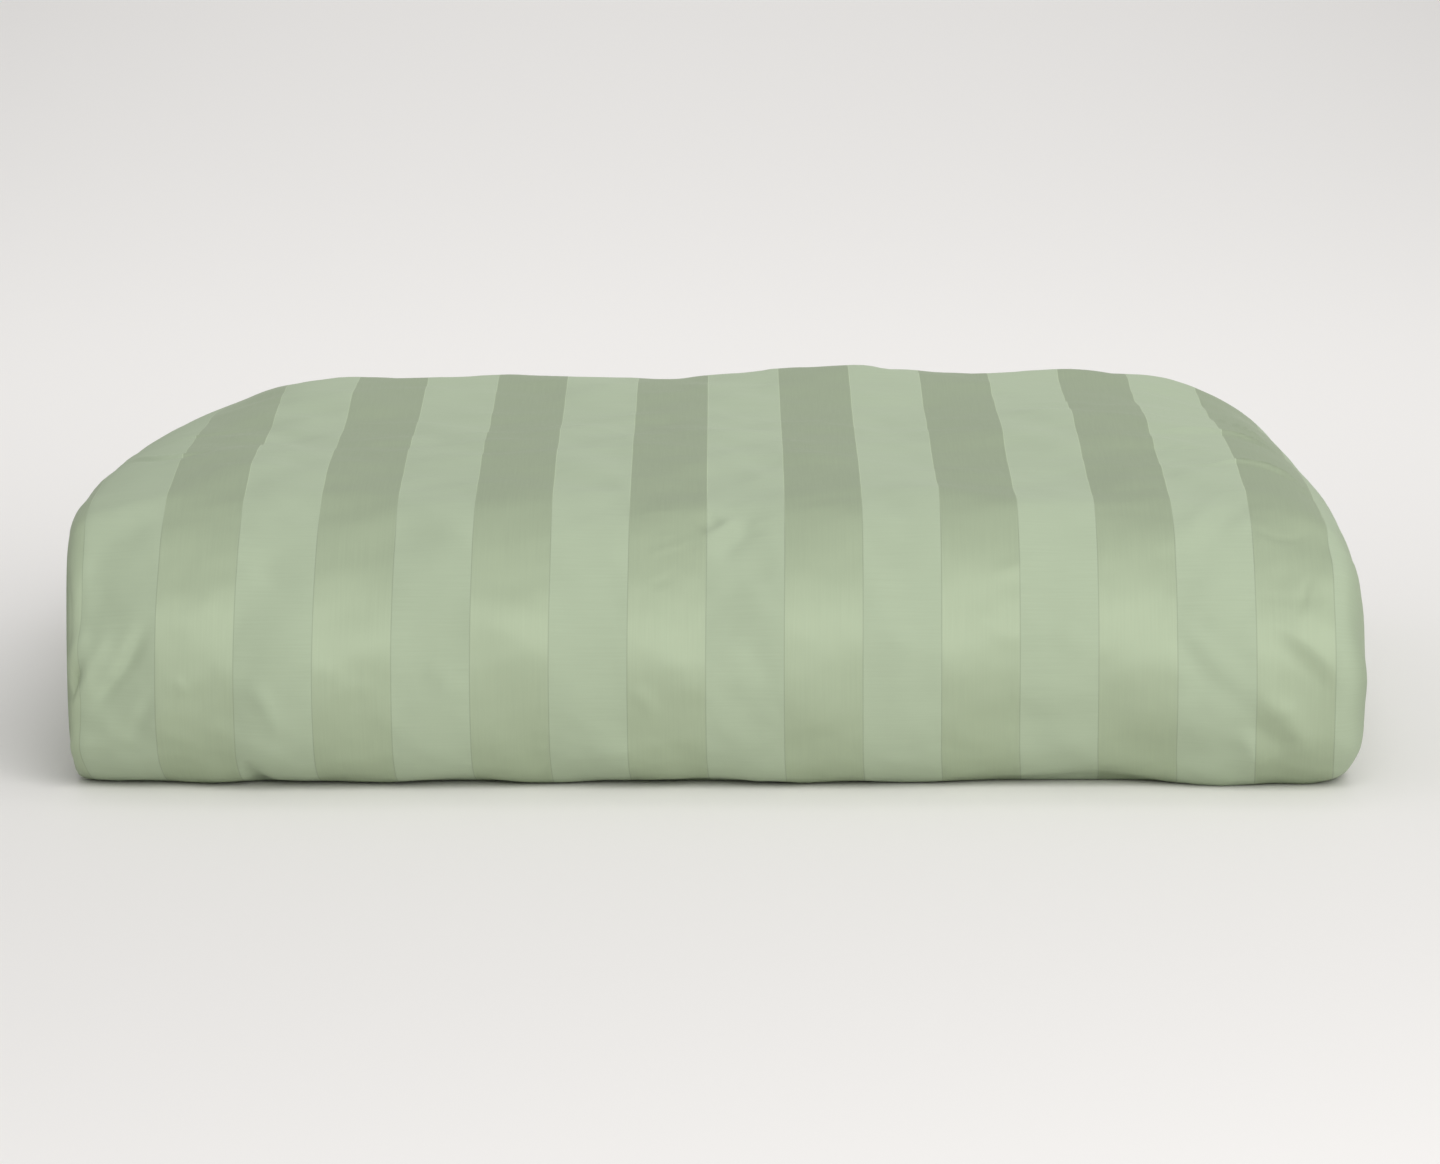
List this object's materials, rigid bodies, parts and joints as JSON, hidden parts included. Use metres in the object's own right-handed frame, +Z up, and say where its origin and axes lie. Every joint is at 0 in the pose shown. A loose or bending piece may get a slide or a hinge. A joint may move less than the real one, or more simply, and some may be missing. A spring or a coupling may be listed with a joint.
{
  "type": "folded duvet in its striped cover",
  "caption": "Duvet in a striped sateen cover, folded in four layers with its closed bend to the front and lying flat.",
  "frame": {"origin": "middle of the flat underside, under the middle of the folded duvet", "axes": "+X along the folded width, to the right of a viewer facing the closed bend, +Y from the closed front bend to the back, where the free ends lie, +Z up"},
  "size_m": [0.728, 0.53, 0.1629],
  "materials": {
    "cover_sateen": "satin"
  },
  "bodies": {
    "root": {"folded_duvet": "cover_sateen"}
  },
  "joints": []
}
